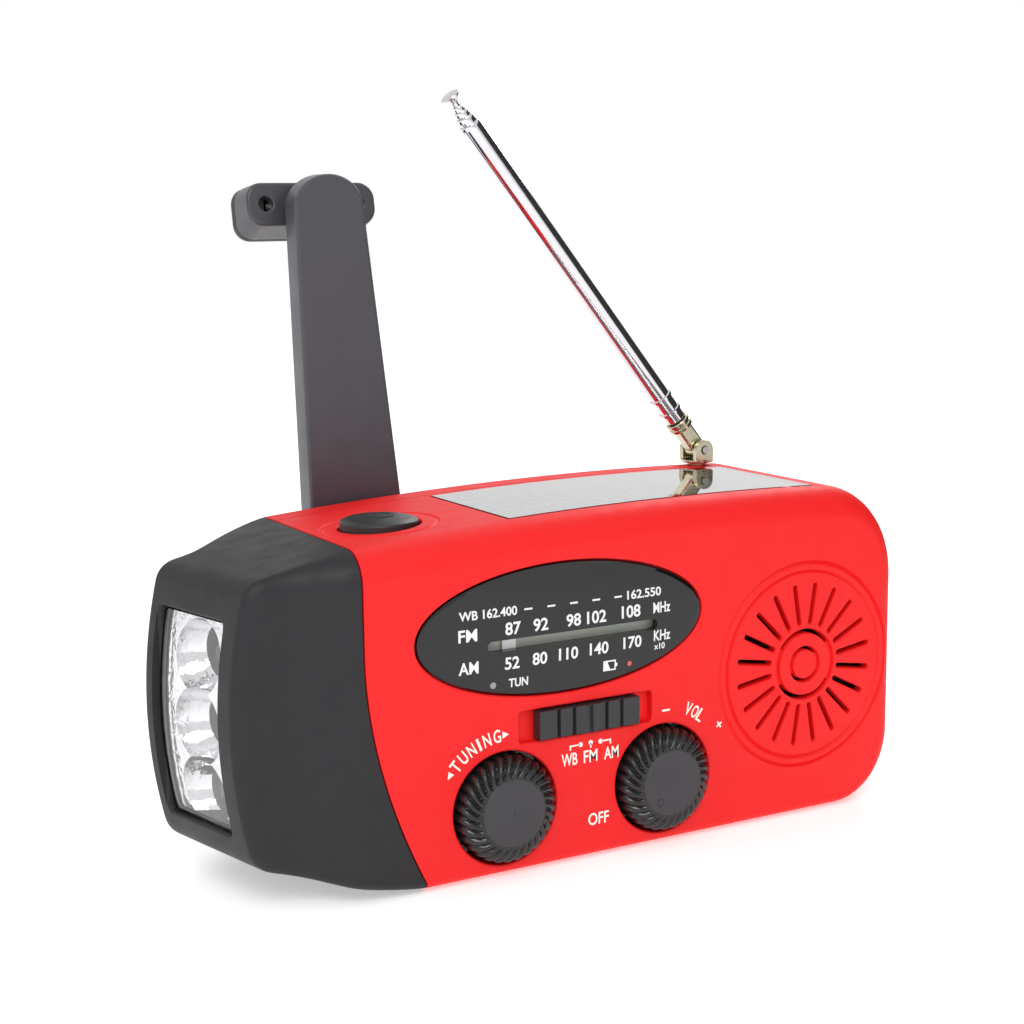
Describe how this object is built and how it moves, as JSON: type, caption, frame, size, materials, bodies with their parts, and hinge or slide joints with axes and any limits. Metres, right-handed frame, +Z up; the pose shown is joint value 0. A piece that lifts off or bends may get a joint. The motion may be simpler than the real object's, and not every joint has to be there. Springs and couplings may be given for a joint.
{
  "type": "emergency radio",
  "caption": "Pocket emergency radio with fold-out hand crank, solar panel, LED flashlight end, analogue dial, speaker and telescopic antenna.",
  "frame": {"origin": "centre of the case's flat underside", "axes": "+X along the body away from the flashlight, -Y out of the dial front, +Z up"},
  "size_m": [0.1339, 0.0654, 0.1304],
  "materials": {
    "red_case": "soft-touch matte red",
    "soft_black": "satin black",
    "gloss_black": "high gloss",
    "clear_plastic": "clear polished",
    "plated_plastic": "vacuum plated mirror",
    "chrome": "polished",
    "brass": "nickel-washed brass",
    "steel": "zinc plated",
    "circuit_board": "solder mask",
    "white_plastic": "moulded",
    "solar_blue": "dark blue cells",
    "cell_wrap": "wrapped cell",
    "ferrite": "sintered",
    "paper_cone": "pressed paper",
    "copper": "enamelled wire",
    "rubber": "matte"
  },
  "bodies": {
    "case": {"front_case": "red_case", "rear_case": "red_case", "flashlight_cap": "soft_black", "flashlight_lens": "clear_plastic", "reflector": "plated_plastic", "led_bottom": "clear_plastic", "led_middle": "clear_plastic", "led_top": "clear_plastic", "led_board": "circuit_board", "dial_window": "gloss_black", "dial_plate": "white_plastic", "main_board": "circuit_board", "tuning_capacitor": "white_plastic", "volume_potentiometer": "steel", "band_switch_body": "steel", "button_switch": "soft_black", "battery_cell": "cell_wrap", "ferrite_rod": "ferrite", "ferrite_coil": "copper", "port_board": "circuit_board", "usb_port": "steel", "charging_port": "steel", "speaker_frame": "steel", "speaker_cone": "paper_cone", "speaker_magnet": "steel", "solar_cover": "clear_plastic", "solar_cell": "solar_blue", "gearbox_plate": "steel", "generator": "steel", "case_screw_1": "steel", "case_screw_2": "steel", "case_screw_3": "steel", "case_screw_4": "steel"},
    "tuning_knob": {"tuning_knob": "soft_black"},
    "dial_pointer": {"dial_pointer": "white_plastic"},
    "volume_knob": {"volume_knob": "soft_black"},
    "band_switch": {"band_switch_slider": "soft_black"},
    "flashlight_button": {"flashlight_button": "soft_black"},
    "crank_hub": {"crank_hub": "soft_black", "drive_gear": "white_plastic", "arm_hinge_pin": "steel"},
    "idler": {"idler_gear": "white_plastic"},
    "generator_rotor": {"generator_pinion": "brass"},
    "crank_arm": {"crank_arm": "soft_black"},
    "grip_swivel": {"grip_swivel": "soft_black", "grip_pin": "steel"},
    "crank_grip": {"grip_front_shell": "soft_black", "grip_rear_shell": "soft_black"},
    "antenna_base": {"antenna_base": "brass", "antenna_pin": "steel"},
    "antenna_section_1": {"antenna_knuckle": "brass", "antenna_tube_1": "chrome"},
    "antenna_section_2": {"antenna_tube_2": "chrome"},
    "antenna_section_3": {"antenna_tube_3": "chrome"},
    "antenna_section_4": {"antenna_tube_4": "chrome"},
    "antenna_rod": {"antenna_rod": "chrome"},
    "port_cover": {"port_cover": "rubber"}
  },
  "joints": [
    {"name": "tuning_turn", "type": "hinge", "parent": "case", "child": "tuning_knob", "pos_m": [-0.0175, -0.025, 0.0114], "axis": [0, 1, 0], "range_deg": [-16.8, 162.7]},
    {"name": "pointer_slide", "type": "slide", "parent": "case", "child": "dial_pointer", "axis": [1, 0, 0], "range_m": [-0.0028, 0.027]},
    {"name": "volume_turn", "type": "hinge", "parent": "case", "child": "volume_knob", "pos_m": [0.0137, -0.025, 0.0114], "axis": [0, 1, 0], "range_deg": [0, 290]},
    {"name": "band_slide", "type": "slide", "parent": "case", "child": "band_switch", "axis": [1, 0, 0], "range_m": [-0.003, 0.003]},
    {"name": "button_press", "type": "slide", "parent": "case", "child": "flashlight_button", "axis": [0, 0, -1], "range_m": [0, 0.0012], "stiffness_N_per_m": 300, "springref_m": -0.001},
    {"name": "crank_turn", "type": "hinge", "parent": "case", "child": "crank_hub", "pos_m": [-0.021, 0.0172, 0.03], "axis": [0, 1, 0], "continuous": true},
    {"name": "idler_turn", "type": "hinge", "parent": "case", "child": "idler", "pos_m": [-0.00206, 0.01, 0.03689], "axis": [0, 1, 0], "continuous": true},
    {"name": "generator_turn", "type": "hinge", "parent": "case", "child": "generator_rotor", "pos_m": [0.01337, 0.009, 0.02394], "axis": [0, 1, 0], "continuous": true},
    {"name": "arm_fold", "type": "hinge", "parent": "crank_hub", "child": "crank_arm", "pos_m": [-0.02162, 0.0256, 0.03898], "axis": [-0.9976, 0, -0.0689], "range_deg": [0, 180]},
    {"name": "grip_turn", "type": "hinge", "parent": "crank_arm", "child": "grip_swivel", "pos_m": [-0.02654, 0.0283, 0.11021], "axis": [0, 1, 0], "continuous": true},
    {"name": "grip_tilt", "type": "hinge", "parent": "grip_swivel", "child": "crank_grip", "pos_m": [-0.02654, 0.034, 0.11021], "axis": [1, 0, 0], "range_deg": [-80, 10]},
    {"name": "antenna_turn", "type": "hinge", "parent": "case", "child": "antenna_base", "pos_m": [0.0478, 0.0172, 0.0598], "axis": [0, 0, 1], "continuous": true},
    {"name": "antenna_tilt", "type": "hinge", "parent": "antenna_base", "child": "antenna_section_1", "pos_m": [0.0478, 0.0172, 0.0624], "axis": [0, 1, 0], "range_deg": [-50, 125]},
    {"name": "antenna_pull_1", "type": "slide", "parent": "antenna_section_1", "child": "antenna_section_2", "axis": [-0.6239, 0, 0.7815], "range_m": [0, 0.066]},
    {"name": "antenna_pull_2", "type": "slide", "parent": "antenna_section_2", "child": "antenna_section_3", "axis": [-0.6239, 0, 0.7815], "range_m": [0, 0.066]},
    {"name": "antenna_pull_3", "type": "slide", "parent": "antenna_section_3", "child": "antenna_section_4", "axis": [-0.6239, 0, 0.7815], "range_m": [0, 0.066]},
    {"name": "antenna_pull_4", "type": "slide", "parent": "antenna_section_4", "child": "antenna_rod", "axis": [-0.6239, 0, 0.7815], "range_m": [0, 0.062]},
    {"name": "port_cover_open", "type": "hinge", "parent": "case", "child": "port_cover", "pos_m": [0.0654, 0.0122, 0.028], "axis": [0, 0, 1], "range_deg": [0, 110]}
  ],
  "couplings": [
    {"joint": "pointer_slide", "follows": "tuning_turn", "m_per_rad": 0.0095},
    {"joint": "idler_turn", "follows": "crank_turn", "ratio": -3},
    {"joint": "generator_turn", "follows": "crank_turn", "ratio": 9}
  ]
}
